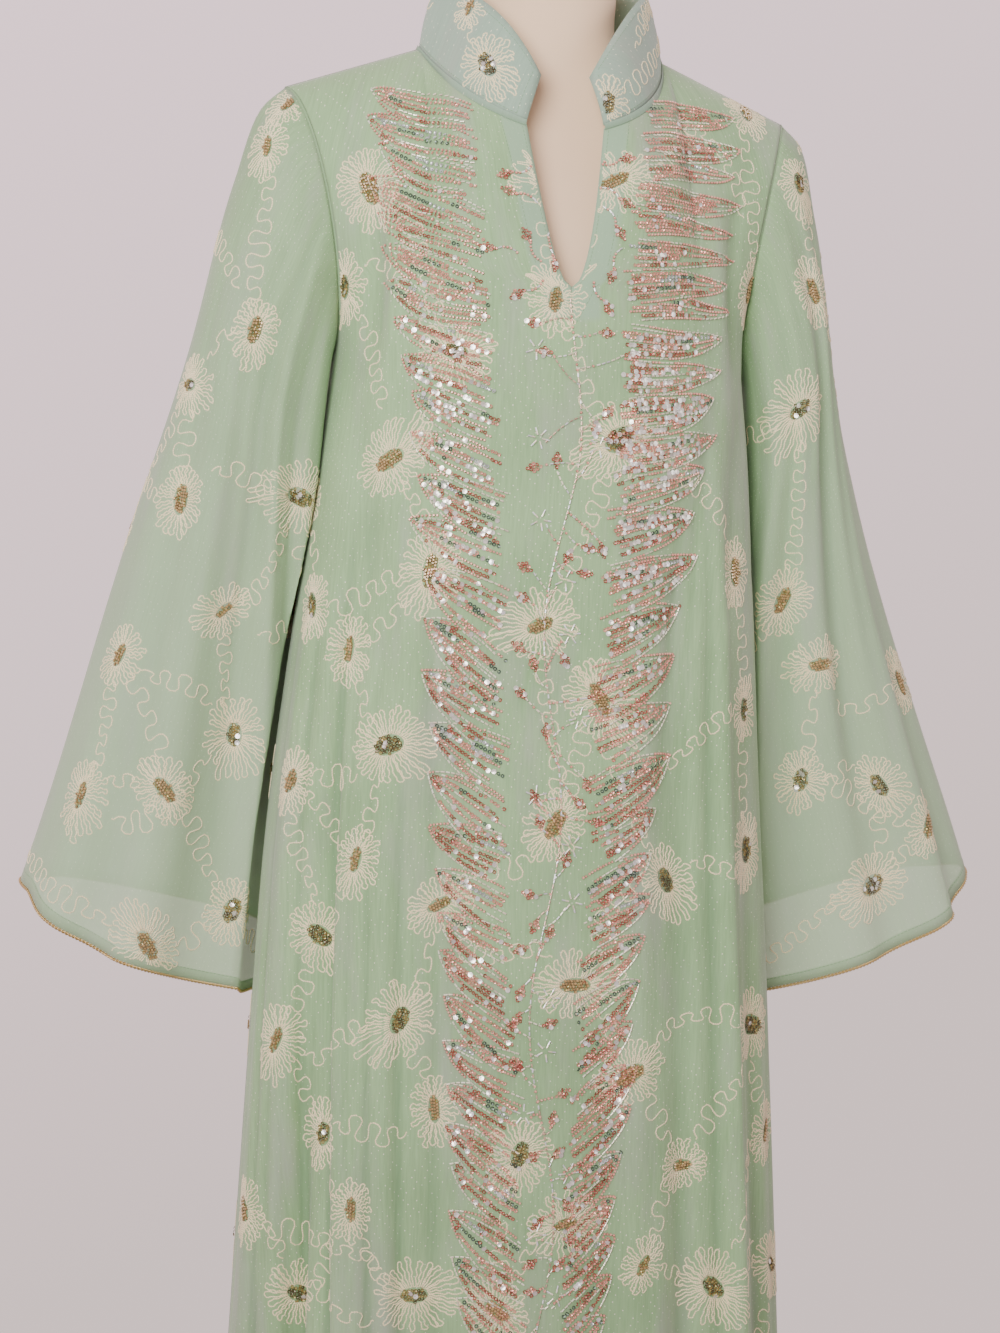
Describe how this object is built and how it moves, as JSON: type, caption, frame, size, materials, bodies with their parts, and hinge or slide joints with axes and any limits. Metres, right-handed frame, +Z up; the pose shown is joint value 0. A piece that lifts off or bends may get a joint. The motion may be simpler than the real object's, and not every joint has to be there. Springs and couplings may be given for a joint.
{
  "type": "abaya on dress form",
  "caption": "Full-length pull-on abaya with stand collar, slit neck and wide bell sleeves edged in gold cord, on a limbless dress form with a pole and round base.",
  "frame": {"origin": "centre of the stand base's underside, on the floor", "axes": "+Z up, -Y out of the garment's front, +X to the wearer's left"},
  "size_m": [0.8173, 0.3406, 1.574],
  "materials": {
    "green_chiffon": "matte crepe chiffon",
    "collar_cloth": "matte interfaced chiffon",
    "gold_cord": "metallic twisted cord",
    "form_jersey": "fine cream jersey",
    "stand_steel": "satin"
  },
  "bodies": {
    "root": {"front": "green_chiffon", "back": "green_chiffon", "facing": "collar_cloth", "collar": "collar_cloth", "sleeve_right": "green_chiffon", "sleeve_left": "green_chiffon", "piping_right": "gold_cord", "piping_left": "gold_cord", "form": "form_jersey", "stand_pole": "stand_steel", "stand_base": "stand_steel"}
  },
  "joints": []
}
